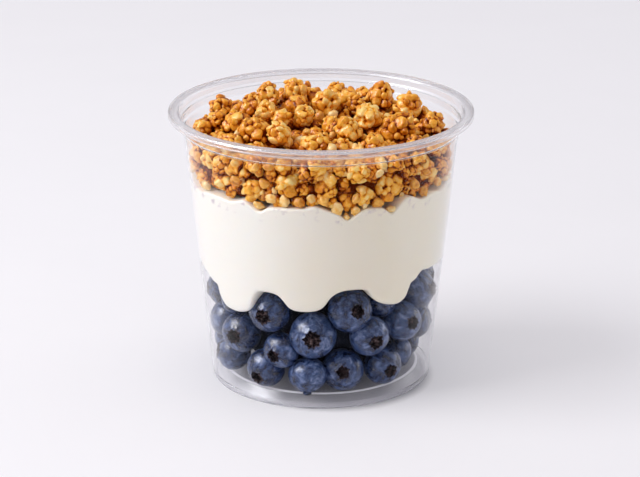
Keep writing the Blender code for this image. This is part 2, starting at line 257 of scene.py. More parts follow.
def joined(parts):
    """One set of points, faces and marks from several."""
    points, faces, marks, start = [], [], {}, 0
    for part_points, part_faces, part_marks in parts:
        points.append(part_points)
        faces.append(np.asarray(part_faces) + start)
        for mark, values in part_marks.items():
            marks.setdefault(mark, []).append(values)
        start += len(part_points)
    marks = {mark: np.concatenate(values) for mark, values in marks.items()}
    return np.concatenate(points), np.concatenate(faces), marks


def ring(radius, turns, height):
    """Points round the axis; radius and height may change on the way."""
    level = np.broadcast_to(height, turns.shape)
    return np.stack((radius * np.cos(turns), radius * np.sin(turns), level), axis=1)


def capped_faces(rows, columns):
    """Triangles of a closed body of rings; the middles of both ends are its last two points."""
    faces = []
    for row in range(rows - 1):
        for column in range(columns):
            after = (column + 1) % columns
            a, b = row * columns + column, row * columns + after
            c, d = a + columns, b + columns
            faces += [(a, b, d), (a, d, c)]
    first, last = rows * columns, (rows - 1) * columns
    for column in range(columns):
        after = (column + 1) % columns
        faces += [(first, after, column), (first + 1, last + column, last + after)]
    return faces


def lumps(points, scale, seed):
    """Smooth noise at each point, about -1 to 1."""
    offset = Vector((seed * 7.3, seed * 3.1, seed * 5.7))
    return np.array([noise.noise(Vector(point) * scale + offset) for point in points.tolist()])


def random_turn(chance):
    """A random rotation as a 3 by 3 matrix."""
    w, x, y, z = (chance.gauss(0.0, 1.0) for _ in range(4))
    length = math.sqrt(w * w + x * x + y * y + z * z)
    w, x, y, z = w / length, x / length, y / length, z / length
    return np.array((
        (1 - 2 * (y * y + z * z), 2 * (x * y - z * w), 2 * (x * z + y * w)),
        (2 * (x * y + z * w), 1 - 2 * (x * x + z * z), 2 * (y * z - x * w)),
        (2 * (x * z - y * w), 2 * (y * z + x * w), 1 - 2 * (x * x + y * y)),
    ))


def turn_to(direction, roll):
    """Matrix that turns +Z to a direction after a roll about Z."""
    z = np.array(direction) / np.linalg.norm(direction)
    x = np.cross((0.0, 0.0, 1.0) if abs(z[2]) < 0.9 else (1.0, 0.0, 0.0), z)
    x /= np.linalg.norm(x)
    y = np.cross(z, x)
    base = np.stack((x, y, z), axis=1)
    c, s = math.cos(roll), math.sin(roll)
    return base @ np.array(((c, -s, 0.0), (s, c, 0.0), (0.0, 0.0, 1.0)))


# Materials


class Look:
    """A material, or the world, under construction."""

    def __init__(self, name, blocks="materials", shader="Principled BSDF"):
        self.block = getattr(bpy.data, blocks).new(name)
        self.block.use_nodes = True
        self.tree = self.block.node_tree
        self.shader = self.tree.nodes[shader]

    def fill(self, node, inputs):
        """Link a node's inputs to sockets, or give them values."""
        for key, source in inputs.items():
            if isinstance(source, bpy.types.NodeSocket):
                self.tree.links.new(source, node.inputs[key])
            else:
                node.inputs[key].default_value = source

    def add(self, kind, inputs=None, **settings):
        node = self.tree.nodes.new(kind)
        for key, value in settings.items():
            setattr(node, key, value)
        self.fill(node, inputs or {})
        return node

    def set(self, **inputs):
        self.fill(self.shader, {key.replace("_", " "): inputs[key] for key in inputs})

    def place(self):
        return self.add("ShaderNodeTexCoord").outputs["Object"]

    def mark(self, name):
        return self.add("ShaderNodeAttribute", attribute_name=name).outputs["Fac"]

    def noise(self, size, detail=3.0, roughness=0.55, distortion=0.0):
        """Noise with features of about a size in millimetres."""
        return self.add("ShaderNodeTexNoise", {
            "Vector": self.place(), "Scale": 1.0 / (size * MM), "Detail": detail,
            "Roughness": roughness, "Distortion": distortion}).outputs["Fac"]

    def ramp(self, source, stops):
        node = self.add("ShaderNodeValToRGB", {"Fac": source})
        elements = node.color_ramp.elements
        while len(elements) < len(stops):
            elements.new(0.5)
        for element, (place, colour) in zip(elements, stops):
            element.position = place
            if not isinstance(colour, tuple):
                colour = (colour, colour, colour)
            element.color = (*colour, 1.0)
        return node.outputs["Color"]

    def mix(self, share, first, colour):
        inputs = {0: share, 6: first, 7: (*colour, 1.0)}
        return self.add("ShaderNodeMix", inputs, data_type="RGBA").outputs[2]

    def shade_mix(self, share, first, second):
        return self.add("ShaderNodeMixShader", {0: share, 1: first, 2: second}).outputs[0]

    def math(self, operation, first, second=0.0, third=0.0, clamp=False):
        return self.add("ShaderNodeMath", {0: first, 1: second, 2: third},
                        operation=operation, use_clamp=clamp).outputs[0]

    def bump(self, height, depth, **below):
        """Bump whose height of 1 is a depth in millimetres, on a Normal below it if given."""
        inputs = {"Height": height, "Distance": depth * MM, "Strength": 1.0, **below}
        return self.add("ShaderNodeBump", inputs).outputs["Normal"]

    def weighed(self, *pairs):
        """Sum of values, each times its weight."""
        total = None
        for source, weight in pairs:
            part = self.math("MULTIPLY", source, weight)
            total = part if total is None else self.math("ADD", total, part)
        return total

    def done(self, body):
        """The material, with a shader of its own for the surface."""
        self.fill(self.tree.nodes["Material Output"], {"Surface": body})
        return self.block


def plastic_look(name, ior, roughness, milk, edge_gloss, glow, coat):
    """Clear plastic; milk is the share that scatters light, edge_gloss the shine at a slant."""
    look = Look(name)
    ripple = look.bump(look.noise(14.0, detail=1.0), 0.06)
    look.set(Base_Color=(0.985, 0.985, 0.992, 1.0), Roughness=roughness, IOR=ior, Normal=ripple,
             Transmission_Weight=1.0, Coat_Weight=coat, Coat_Roughness=0.14, Coat_IOR=1.6)
    body = look.shader.outputs[0]
    if edge_gloss > 0.0:
        slant = look.add("ShaderNodeLayerWeight", {"Normal": ripple, "Blend": 0.5})
        share = look.math("POWER", slant.outputs["Facing"], EDGE_SLOPE)
        share = look.math("MULTIPLY", share, edge_gloss, clamp=True)
        shine = look.add("ShaderNodeBsdfAnisotropic", {
            "Normal": ripple, "Color": (0.97, 0.97, 0.985, 1.0), "Roughness": 0.24})
        body = look.shade_mix(share, body, shine.outputs[0])
    if milk > 0.0:
        white = {"Color": (0.86, 0.85, 0.91, 1.0)}
        front = look.add("ShaderNodeBsdfDiffuse", white).outputs[0]
        through = look.add("ShaderNodeBsdfTranslucent", white).outputs[0]
        body = look.shade_mix(milk, body, look.shade_mix(0.5, front, through))
    # Painted highlight: the plastic glows where a glow is given, at the floor's edge.
    if glow > 0.0:
        light = look.add("ShaderNodeEmission", {"Color": (0.97, 0.96, 1.0, 1.0), "Strength": glow})
        body = look.add("ShaderNodeAddShader", {0: body, 1: light.outputs[0]}).outputs[0]
    path = look.add("ShaderNodeLightPath").outputs
    soft = look.math("MAXIMUM", path["Is Shadow Ray"], path["Is Diffuse Ray"])
    deep = look.math("GREATER_THAN", path["Ray Depth"], 6.0)
    shade = (0.975, 0.975, 0.980, 1.0) if milk == 0.0 else (0.96, 0.96, 0.965, 1.0)
    clear = look.add("ShaderNodeBsdfTransparent", {"Color": shade})
    return look.done(look.shade_mix(look.math("MAXIMUM", soft, deep), body, clear.outputs[0]))


def berry_look():
    look = Look("blueberry_skin")
    cloud = look.noise(3.4, detail=5.0, roughness=0.62, distortion=0.8)
    speck = look.noise(0.7, detail=4.0, roughness=0.7)
    bloom = look.weighed((cloud, 0.84), (speck, 0.26), (look.mark("tone"), 0.10))
    skin = look.ramp(bloom, ((0.42, (0.0015, 0.004, 0.017)), (0.54, (0.006, 0.016, 0.062)),
                             (0.66, (0.036, 0.072, 0.190)), (0.79, (0.195, 0.250, 0.430))))
    flesh = look.ramp(look.noise(1.1, detail=3.0), ((0.40, (0.004, 0.003, 0.005)),
                                                    (0.55, (0.050, 0.030, 0.030)),
                                                    (0.70, (0.230, 0.165, 0.160))))
    flesh = look.mix(look.mark("pit"), flesh, (0.003, 0.002, 0.004))
    rough = look.ramp(bloom, ((0.42, 0.18), (0.60, 0.32), (0.76, 0.50)))
    look.set(Base_Color=skin, Roughness=rough, IOR=1.45, Specular_IOR_Level=0.15,
             Coat_Weight=1.0, Coat_Roughness=0.24, Coat_IOR=1.50,
             Normal=look.bump(speck, 0.07, Normal=look.bump(cloud, 0.34)))
    dry = look.add("ShaderNodeBsdfDiffuse", {"Color": flesh}).outputs[0]
    return look.done(look.shade_mix(look.mark("crown"), look.shader.outputs[0], dry))


def dark_look(name, low, high):
    look = Look(name)
    look.set(Base_Color=look.ramp(look.noise(3.0), ((0.35, low), (0.65, high))), Roughness=0.9,
             Specular_IOR_Level=0.0)
    return look.block


def yogurt_look():
    look = Look("yogurt")
    soft = look.math("MULTIPLY", look.noise(30.0, detail=2.0), 0.3)
    # Painted light and shade: the colour drifts from white on the left, towards the window, to a
    # darker cream on the right.
    across = look.add("ShaderNodeSeparateXYZ", {"Vector": look.place()}).outputs["X"]
    painted_side_light = look.math("ADD", soft, look.math("MULTIPLY_ADD", across, 0.007 / MM, 0.15))
    colour = look.ramp(painted_side_light, ((0.10, (0.877, 0.856, 0.788)), (0.28, (0.870, 0.814, 0.695)),
                               (0.45, (0.866, 0.799, 0.650)), (0.62, (0.868, 0.824, 0.700))))
    # Painted shade under the granola: lilac-grey patches on the yogurt's top and near its upper
    # edge.
    patches = look.ramp(look.noise(3.6, detail=2.0), ((0.58, 0.0), (0.78, 1.0)))
    granola_shade = look.math("MULTIPLY", look.mark("granola_shade"), patches, clamp=True)
    look.set(Base_Color=look.mix(granola_shade, colour, (0.58, 0.50, 0.53)), Roughness=0.38, IOR=1.38,
             Subsurface_Weight=0.25, Subsurface_Radius=(1.0, 0.75, 0.5),
             Subsurface_Scale=3.0 * MM, Normal=look.bump(look.noise(9.0, detail=2.0), 0.10))
    return look.block


def granola_look():
    look = Look("honey_granola")
    crevice_shade = look.mark("crevice_shade")
    blotch = look.noise(1.8, detail=4.0, roughness=0.6)
    # Painted shade: the crevice mark darkens the colour in creases and hollows and where clusters
    # touch.
    shade = look.weighed((look.mark("tone"), 0.38), (blotch, 0.70), (crevice_shade, -0.64))
    colour = look.ramp(shade, ((0.00, (0.110, 0.013, 0.0004)), (0.19, (0.410, 0.087, 0.002)),
                               (0.38, (0.785, 0.280, 0.011)), (0.57, (0.960, 0.480, 0.050)),
                               (0.79, (0.990, 0.730, 0.275))))
    grit = look.bump(look.noise(0.5, detail=3.0), 0.08)
    look.set(Base_Color=colour, Roughness=look.ramp(blotch, ((0.3, 0.30), (0.7, 0.48))),
             Specular_IOR_Level=0.16, Coat_Weight=0.20, Coat_Roughness=0.13,
             Subsurface_Weight=0.06, Subsurface_Radius=(1.0, 0.45, 0.12),
             Subsurface_Scale=1.0 * MM,
             Normal=look.bump(look.noise(1.3, detail=3.0), 0.30, Normal=grit))
    # The gloss is taken out too where the crevice mark paints shade.
    dry = look.add("ShaderNodeBsdfDiffuse", {"Color": colour}).outputs[0]
    share = look.math("MULTIPLY_ADD", crevice_shade, 1.8, -0.3, clamp=True)
    return look.done(look.shade_mix(share, look.shader.outputs[0], dry))


def oat_look():
    look = Look("toasted_oat")
    blotch = look.noise(1.4, detail=4.0, roughness=0.6)
    # Painted shade: the crevice mark darkens creases and low places.
    shade = look.weighed((look.mark("tone"), 0.66), (blotch, 0.46), (look.mark("crevice_shade"), -0.42))
    colour = look.ramp(shade, ((0.05, (0.230, 0.050, 0.002)), (0.28, (0.640, 0.220, 0.014)),
                               (0.54, (0.900, 0.470, 0.080)), (0.86, (0.950, 0.720, 0.340))))
    look.set(Base_Color=colour, Roughness=0.42, Specular_IOR_Level=0.25, Coat_Weight=0.15,
             Coat_Roughness=0.16, Normal=look.bump(look.noise(0.7, detail=3.0), 0.16))
    return look.block


def floor_look():
    """Pale tabletop that glows a little beside the cup: painted light that lifts its shade, with a
    painted shadow under the cup where it does not glow.
    """
    look = Look("pale_tabletop")
    colour = look.ramp(look.noise(60.0, detail=2.0),
                       ((0.3, (0.596, 0.586, 0.606)), (0.7, (0.604, 0.594, 0.614))))
    foot = (FOOT_SHADE_PLACE[0] * MM, FOOT_SHADE_PLACE[1] * MM, 0.0)
    apart = look.add("ShaderNodeVectorMath", {0: look.place(), 1: foot}, operation="DISTANCE")
    glow = look.math("MULTIPLY_ADD", apart.outputs["Value"], TABLE_GLOW_SLOPE / MM,
                     -FOOT_SHADE * TABLE_GLOW_SLOPE, clamp=True)
    look.set(Base_Color=colour, Roughness=0.75, Specular_IOR_Level=0.3,
             Emission_Color=(1.0, 0.985, 1.02, 1.0),
             Emission_Strength=look.math("MULTIPLY", glow, TABLE_GLOW))
    return look.block


# Cup


def rounded(path, steps=6):
    """Points of a path of (x, z, radius) whose corners are rounded off by their radius."""
    corners = [Vector(place[:2]) for place in path]
    points = [path[0][:2]]
    for before, corner, after, place in zip(corners, corners[1:], corners[2:], path[1:]):
        first, second = before - corner, after - corner
        reach = min(place[2], 0.45 * first.length, 0.45 * second.length)
        start = corner + first.normalized() * reach
        end = corner + second.normalized() * reach
        for share in (step / steps for step in range(steps + 1)):
            near, far = start.lerp(corner, share), corner.lerp(end, share)
            points.append(tuple(near.lerp(far, share)))
    return points + [path[-1][:2]]


def offset_path(path, distances):
    """The path moved to the right of its direction, with mitred corners."""
    moved = []
    for index, (x, z) in enumerate(path):
        normals = []
        for first in (index - 1, index):
            if 0 <= first < len(path) - 1:
                dx = path[first + 1][0] - path[first][0]
                dz = path[first + 1][1] - path[first][1]
                length = math.hypot(dx, dz)
                normals.append((dz / length, -dx / length))
        nx = sum(normal[0] for normal in normals) / len(normals)
        nz = sum(normal[1] for normal in normals) / len(normals)
        scale = distances[index] / (nx * nx + nz * nz)
        moved.append((x + nx * scale, z + nz * scale))
    return moved


def cup_path():
    """The sheet's inner and upper side from the floor's middle to the lip's lower edge."""
    path = [(0.0, FLOOR_HEIGHT, 0.0), (FLOOR_RADIUS + 0.7, FLOOR_HEIGHT, 0.9),
            (FOOT_RADII[0], SHEET, 0.9), (FOOT_RADII[1], SHEET, 0.4), (*WALL_FOOT, 0.6)]
    radius = WALL_TOP[0]
    for depth in reversed(STEP_DEPTHS):
        path.append((radius, CUP_HEIGHT - depth - STEP_FALL, STEP_ROUNDING))
        radius += STEP_WIDTH
        path.append((radius, CUP_HEIGHT - depth, STEP_ROUNDING))
    path += [(MOUTH_RADIUS, CUP_HEIGHT, MOUTH_ROUNDING), (RIM_RADIUS, CUP_HEIGHT, LIP_ROUNDING),
             (RIM_RADIUS, CUP_HEIGHT - LIP_DROP + 0.5 * LIP_SHEET, 0.0)]
    return rounded(path)


def make_cup(plastics):
    """The cup; cup_zone numbers its plastics."""
    inner = cup_path()
    outer = offset_path(inner, [SHEET if x < LIP_START else LIP_SHEET for x, z in inner])
    end = 0.5 * (Vector(inner[-1]) + Vector(outer[-1]))
    half = 0.5 * LIP_SHEET
    bead = [(end[0] + half * math.cos(turn), end[1] - half * math.sin(turn))
            for turn in (math.pi * step / 6 for step in range(1, 6))]
    outline = inner + bead + list(reversed(outer))
    turns = np.arange(CUP_STEPS) * TAU / CUP_STEPS
    rings = [ring(radius, turns, height) for radius, height in outline[1:-1]]
    middles = [(0.0, 0.0, outline[0][1]), (0.0, 0.0, outline[-1][1])]
    faces = capped_faces(len(rings), CUP_STEPS)
    item = add_mesh("clear_cup", np.concatenate((*rings, middles)), faces, plastics[0])
    for material in plastics[1:]:
        item.data.materials.append(material)
    kinds = []
    for polygon in item.data.polygons:
        x, y, z = (value / MM for value in polygon.center)
        kinds.append(cup_zone(math.hypot(x, y), z))
    item.data.polygons.foreach_set("material_index", kinds)
    outward(item)
    return item


def cup_zone(radius, height):
    """Number of the plastic at a place.

    0: thin wall, 1: steps and the lip's side, 2: the floor's edge, bright with a painted
       highlight, 3: the lip's top and lower edge, 4: foot.
    """
    drop = CUP_HEIGHT - height
    if radius > MOUTH_RADIUS + 0.4 and drop < STEP_DEPTHS[0]:
        return 1 if LIP_TOP < drop < LIP_DROP - LIP_FOOT else 3
    if height > WALL_TOP[1] + 0.2:
        return 1
    if FLOOR_RADIUS - 0.4 < radius < FLOOR_RADIUS + 0.85 and height > FLOOR_HEIGHT - 0.5:
        return 2 if height < FLOOR_HEIGHT + 0.3 else 0
    return 4 if height < FLOOR_HEIGHT + 0.3 else 0


def outward(item):
    """Make every face of a closed mesh face out."""
    shape = bmesh.new()
    shape.from_mesh(item.data)
    bmesh.ops.recalc_face_normals(shape, faces=shape.faces[:])
    shape.to_mesh(item.data)
    shape.free()


# Blueberries


def berry(radius, chance):
    """One blueberry, crown towards +Z: points, faces and marks."""
    draw = chance.uniform
    turns = np.arange(BERRY_SEGMENTS) * TAU / BERRY_SEGMENTS
    hole = draw(0.31, 0.38) * radius
    start = draw(0.0, TAU)
    lobes = 5
    star = np.abs(((turns - start) * lobes / math.pi) % 2.0 - 1.0)
    notch = np.abs(((turns - start) * 2 * lobes / math.pi + 0.4) % 2.0 - 1.0)
    edge = hole * (0.76 + 0.16 * star + 0.24 * notch ** 1.5)
    edge *= 1.0 + np.array([draw(-0.07, 0.07) for _ in turns])
    flap = 0.5 + 0.5 * notch + np.array([draw(-0.25, 0.25) for _ in turns])
    depth = draw(0.20, 0.30) * radius
    flat = draw(0.84, 0.92)
    side = draw(0.0, TAU)
    shelf = 0.5 + 0.5 * np.cos(turns - side)

    def skin_height(distance):
        share = np.clip(distance / radius, 0.0, 1.0)
        return flat * radius * np.sqrt(1.0 - share * share)

    # Rings of the crown: distance from its middle, lift over the skin, share of crown and of pit
    rows = [(0.04 * edge, -depth * 0.80, 1.0, 0.1),
            (0.30 * edge, -depth * (1.0 - 0.2 * shelf), 1.0, 0.3),
            (0.60 * edge, -depth * (1.1 - 0.5 * shelf), 1.0, 0.8),
            (0.82 * edge, -depth * (0.95 - 0.5 * shelf), 1.0, 0.9),
            (0.93 * edge, -depth * 0.30, 1.0, 0.8),
            (0.99 * edge, 0.055 * radius * flap, 0.9, 0.1),
            (1.06 * edge, 0.070 * radius * flap, 0.35, 0.0),
            (1.16 * edge, 0.030 * radius * flap, 0.0, 0.0),
            (1.32 * edge, 0.002 * radius, 0.0, 0.0)]
    rings, crown, pit = [], [], []
    for distance, lift, mark, hollow in rows:
        rings.append(ring(distance, turns, skin_height(distance) + lift))
        crown.append(np.full(BERRY_SEGMENTS, mark))
        pit.append(hollow * (1.0 - 0.8 * shelf))
    skirt = 1.42  # where the crown ends and the plain skin begins, in shares of the hole
    first = math.asin(min(0.95, skirt * hole / radius))
    skin_rows = 15
    for row in range(skin_rows):
        angle = first + (math.pi - 0.02 - first) * (row + 0.35) / (skin_rows - 0.65)
        dip = 0.35 * math.exp(-((math.pi - angle) / 0.10) ** 2)
        distance, level = radius * math.sin(angle), flat * radius * math.cos(angle) + dip
        if row == 0:
            distance = np.maximum(distance, skirt * edge)
            level = skin_height(distance)
        rings.append(ring(distance, turns, level))
        crown.append(np.full(BERRY_SEGMENTS, 0.6 if dip > 0.15 else 0.0))
        pit.append(np.zeros(BERRY_SEGMENTS))
    points = np.concatenate(rings)
    shape = 1.0 + 0.022 * lumps(points / radius, 1.3, chance.random() * 9.0)
    points = points * shape[:, None]
    points = np.concatenate((points, [rings[0].mean(axis=0), rings[-1].mean(axis=0)]))
    marks = {"crown": np.concatenate(crown + [[1.0, 0.6]]),
             "pit": np.concatenate(pit + [[0.1, 0.0]]),
             "tone": np.full(len(points), chance.random())}
    return points, np.array(capped_faces(len(rings), BERRY_SEGMENTS)), marks


def make_berries(material, dark):
    """The blueberries, and the shaded body that closes the gaps between them."""
    chance = random.Random(BERRY_SEED)
    draw = chance.uniform
    parts = []

    def place(turn, height, diameter, gap, crown_turn, crown_tilt):
        radius = 0.5 * diameter
        centre = around(turn, wall_radius(height) - gap - radius, height)
        tilt = math.radians(crown_tilt)
        facing = around(crown_turn, math.cos(tilt), math.sin(tilt))
        points, faces, marks = berry(radius, chance)
        matrix = turn_to(facing, draw(0.0, TAU))
        points = press_in(points @ matrix.T + centre, 0.05)
        points[:, 2] = np.maximum(points[:, 2], FLOOR_HEIGHT + 0.03)
        parts.append((points, faces, marks))

    for values in FRONT_BERRIES:
        place(*values)
    for height, first, last, count in BACK_ROWS:
        for index in range(count):
            turn = first + (last - first) * index / (count - 1) + draw(-2.0, 2.0)
            level = height + draw(-1.0, 1.6)
            facing = turn + draw(-70.0, 70.0)
            diameter = draw(*BERRY_DIAMETERS)
            level = max(level, FLOOR_HEIGHT + 0.5 * diameter)
            place(turn, level, diameter, draw(0.1, 0.8), facing, draw(-50, 50))
    for height, distance, count in INNER_ROWS:
        for index in range(count):
            turn = 360.0 * (index + 0.5 * (height > 20.0)) / count + draw(-5.0, 5.0)
            radius = 0.5 * draw(*BERRY_DIAMETERS)
            gap = wall_radius(height) - radius - distance
            place(turn, height, 2.0 * radius, gap, draw(0, 360), draw(-80, 80))
    parts.append((BALL * (1.7, 0.8, 1.0) + around(*JUICE_DROP), BALL_FACES,
                  {mark: np.zeros(len(BALL)) for mark in ("crown", "pit", "tone")}))
    points, faces, marks = joined(parts)
    item = add_mesh("blueberries", points, faces, material, marks)
    core_points, core_faces = round_core(BERRY_CORE, 2.4, 8.0, 3)
    core = add_mesh("blueberry_heap_core", core_points, core_faces, dark)
    return item, core


def round_core(outline, bumps, size, seed, columns=72):
    """A closed lumpy body turned from an outline of radius and height."""
    turns = np.arange(columns) * TAU / columns
    points = np.concatenate([ring(radius, turns, height) for radius, height in outline[1:-1]])
    shift = bumps * np.abs(lumps(points, 1.0 / size, seed))
    points[:, :2] *= (1.0 + shift / np.maximum(np.hypot(points[:, 0], points[:, 1]), 5.0))[:, None]
    points[:, 2] += 0.6 * shift
    points = np.concatenate((points, [(0.0, 0.0, outline[0][1]), (0.0, 0.0, outline[-1][1])]))
    return points, np.array(capped_faces(len(outline) - 2, columns))


# Yogurt


def round_curve(places, turns):
    """Smooth closed curve through (turn, value) places, at turns in degrees."""
    xs, ys = np.array(places, dtype=float).T
    xs = np.concatenate((xs - 360.0, xs, xs + 360.0))
    ys = np.tile(ys, 3)
    steps = np.diff(xs)
    slopes = np.diff(ys) / steps
    tangents = np.zeros_like(ys)
    for index in range(1, len(xs) - 1):
        before, after = slopes[index - 1], slopes[index]
        if before * after > 0.0:
            weight = 2 * steps[index] + steps[index - 1], steps[index] + 2 * steps[index - 1]
            tangents[index] = sum(weight) / (weight[0] / before + weight[1] / after)
    index = np.clip(np.searchsorted(xs, turns, side="right") - 1, 0, len(xs) - 2)
    width = steps[index]
    t = (turns - xs[index]) / width
    h00, h10 = (1 + 2 * t) * (1 - t) ** 2, t * (1 - t) ** 2
    h01, h11 = t * t * (3 - 2 * t), t * t * (t - 1)
    return (h00 * ys[index] + h10 * width * tangents[index] + h01 * ys[index + 1]
            + h11 * width * tangents[index + 1])


def back_places(first, last, count, levels, wander, droop, seed):
    """Places of a border round the back, whose arches and lobes take turns."""
    chance = random.Random(seed)
    draw = chance.uniform
    places = []
    width = (last - first) / count
    for index in range(count):
        turn = first + width * (index + 0.5 + draw(-0.08, 0.08))
        level = levels[index % 2] + draw(-wander, wander)
        drop = droop if levels[index % 2] == max(levels) else -0.7 * droop
        places += [(turn - 0.34 * width, level - drop * draw(0.8, 1.4)), (turn, level),
                   (turn + 0.34 * width, level - drop * draw(0.8, 1.4))]
    return places


def make_yogurt(material):
    turns = np.arange(YOGURT_TURNS) * 360.0 / YOGURT_TURNS
    front = np.where(turns > 180.0, turns - 360.0, turns)
    low = round_curve(list(LOWER_BORDER) + back_places(*LOWER_BACK), front)
    high = round_curve(list(UPPER_BORDER) + back_places(*UPPER_BACK), front)
    high = sum(np.roll(high, shift) * weight for shift, weight in UPPER_BLUR)
    rounding, top_rounding = YOGURT_ROUNDINGS
    inner_low, inner_high = YOGURT_MIDDLE
    inner_radius = 8.0
    rows, granola_shades = [], []

    def row(radius, height, granola_shade=0.0):
        turn = np.radians(turns)
        rows.append(np.stack((radius * np.sin(turn), -radius * np.cos(turn), height), axis=1))
        granola_shades.append(np.full(YOGURT_TURNS, granola_shade))

    edge = wall_radius(low) + YOGURT_REACH - rounding
    for share in (0.0, 0.35, 0.7, 0.88):
        blend = smooth_step(0.0, 1.0, share)
        row(inner_radius + (edge - 1.0 - inner_radius) * share,
            inner_low + (low - inner_low) * blend ** 2)
    for step in range(6):
        angle = 0.5 * math.pi * step / 5
        row(edge + rounding * math.sin(angle), low + rounding * (1.0 - math.cos(angle)))
    for step in range(1, YOGURT_SIDE_ROWS):
        share = step / YOGURT_SIDE_ROWS
        height = low + rounding + (high - top_rounding - low - rounding) * share
        # Painted shade under the granola, growing towards the yogurt's upper edge.
        granola_shade = float(smooth_step(0.86, 0.97, share))
        row(wall_radius(height) + YOGURT_REACH, height, granola_shade)
    edge = wall_radius(high) + YOGURT_REACH - top_rounding
    for step in range(5):
        angle = 0.5 * math.pi * step / 4
        row(edge + top_rounding * math.cos(angle),
            high - top_rounding * (1.0 - math.sin(angle)), 1.0)
    for share in (0.9, 0.7, 0.4, 0.1):
        row(edge * share, inner_high + (high - inner_high) * share ** 2, 0.5)
    points = np.concatenate((*rows, [(0.0, 0.0, inner_low), (0.0, 0.0, inner_high)]))
    faces = capped_faces(len(rows), YOGURT_TURNS)
    granola_shades = np.concatenate(granola_shades + [[0.0, 0.0]])
    item = add_mesh("yogurt", points, faces, material, {"granola_shade": granola_shades})
    outward(item)
    return item


# Granola


def ball_points(subdivisions):
    shape = bmesh.new()
    bmesh.ops.create_icosphere(shape, subdivisions=subdivisions, radius=1.0)
    points = np.array([vertex.co[:] for vertex in shape.verts])
    faces = np.array([[vertex.index for vertex in face.verts] for face in shape.faces])
    shape.free()
    return points, faces


BALL, BALL_FACES = ball_points(3)
SMALL_BALL, SMALL_BALL_FACES = ball_points(2)


def cluster(diameter, length, seed):
    """One granola cluster round the origin: packed knobs fused to a lumpy body by a remesh."""
    chance = random.Random(seed)
    draw = chance.uniform
    outer = 0.5 * diameter
    axis = np.array((length, 1.0, draw(0.84, 1.0)))

    def surface(directions):
        swell = 1.0 + CLUSTER_SWELL * lumps(directions, 1.0, seed * 0.37)
        return directions * axis * (outer * swell)[:, None]

    body = surface(BALL) * CLUSTER_BODY
    knobs = []
    for smallest, largest, spacing, low, tries in KNOB_SIZES:
        for _ in range(tries):
            direction = random_direction(chance)
            radius = min(draw(smallest, largest), 0.42 * outer)
            top = surface(direction[None])[0] * draw(low, 1.04)
            centre = top * (1.0 - KNOB_DEPTH * radius / np.linalg.norm(top))
            if any(np.linalg.norm(centre - other[0]) < spacing * (radius + other[1])
                   for other in knobs):
                continue
            flake = chance.random() < FLAKE_SHARE
            sizes = (1.30, 1.10, 0.58) if flake else (draw(1.0, 1.45), 1.0, 0.88)
            lean = direction + np.array([draw(-0.60, 0.60) for _ in range(3)])
            matrix = turn_to(lean, draw(0.0, TAU)) @ np.diag(np.array(sizes) * radius)
            tone = draw(0.55, 1.0) if flake else chance.random()
            knobs.append((centre, radius, matrix, tone))
    parts = [(body, BALL_FACES, {})]
    for centre, radius, matrix, tone in knobs:
        points = SMALL_BALL * (1.0 + 0.26 * lumps(SMALL_BALL, 1.3, tone * 50.0))[:, None]
        points = chipped(points, chance, *KNOB_CHIPS)
        parts.append((points @ matrix.T + centre, SMALL_BALL_FACES, {}))
    points, faces, _ = joined(parts)
    points, faces = fused(points, faces)
    points = crinkled(points, faces, seed)
    gaps = np.array([(np.linalg.norm((points - centre) @ np.linalg.inv(matrix).T, axis=1) - 1.0)
                     * radius for centre, radius, matrix, _ in knobs])
    order = np.sort(gaps, axis=0)
    crease = 1.0 - smooth_step(0.04, 0.55, order[1] - order[0])
    crease = np.maximum(crease, smooth_step(0.10, 0.45, order[0]))
    tones = np.array([knob[3] for knob in knobs])
    weights = np.exp(-(gaps - order[0]) / 0.16)
    tone = (weights * tones[:, None]).sum(axis=0) / weights.sum(axis=0)
    # Painted shade in the creases between knobs and in the hollows.
    crevice_shade = np.clip(0.55 * crease + 0.75 * hollows(points, faces) - 0.10, 0.0, 1.0)
    return points, faces, {"tone": tone, "crevice_shade": crevice_shade}


def chipped(points, chance, cuts, low, high):
    """A unit ball with a few flat sides, as a broken grain."""
    for _ in range(cuts):
        side = random_direction(chance)
        over = np.maximum(points @ side - chance.uniform(low, high), 0.0)
        points = points - 0.92 * over[:, None] * side
    return points


def random_direction(chance):
    z = chance.uniform(-1.0, 1.0)
    turn = chance.uniform(0.0, TAU)
    reach = math.sqrt(1.0 - z * z)
    return np.array((reach * math.cos(turn), reach * math.sin(turn), z))


def point_normals(points, faces):
    corners = points[faces]
    across = np.cross(corners[:, 1] - corners[:, 0], corners[:, 2] - corners[:, 0])
    normals = np.zeros_like(points)
    for corner in range(3):
        np.add.at(normals, faces[:, corner], across)
    return normals / np.maximum(np.linalg.norm(normals, axis=1), 1e-9)[:, None]


def evened(values, faces, rounds):
    """Values at the points after rounds of averaging over the neighbours."""
    pairs = np.concatenate((faces[:, (0, 1)], faces[:, (1, 2)], faces[:, (2, 0)]))
    count = np.bincount(pairs.ravel(), minlength=len(values)).astype(float)
    for _ in range(rounds):
        total = np.zeros_like(values)
        np.add.at(total, pairs[:, 0], values[pairs[:, 1]])
        np.add.at(total, pairs[:, 1], values[pairs[:, 0]])
        values = total / (count[:, None] if values.ndim > 1 else count)
    return values


def crinkled(points, faces, seed):
    """Fine folds and bumps on a cluster's surface."""
    normals = point_normals(points, faces)
    fold = np.abs(lumps(points, 0.6, seed)) - 0.2
    fine = lumps(points, 1.1, seed + 3)
    return points + normals * (0.34 * fold + 0.16 * fine)[:, None]


def hollows(points, faces):
    """How far each point lies in a hollow, 0 to 1."""
    normals = point_normals(points, faces)
    wide = ((evened(points, faces, 12) - points) * normals).sum(axis=1)
    near = ((evened(points, faces, 3) - points) * normals).sum(axis=1)
    hollow = evened(wide / 0.50 + near / 0.16, faces, 1)
    return np.clip(0.15 + 0.40 * hollow, 0.0, 1.0)


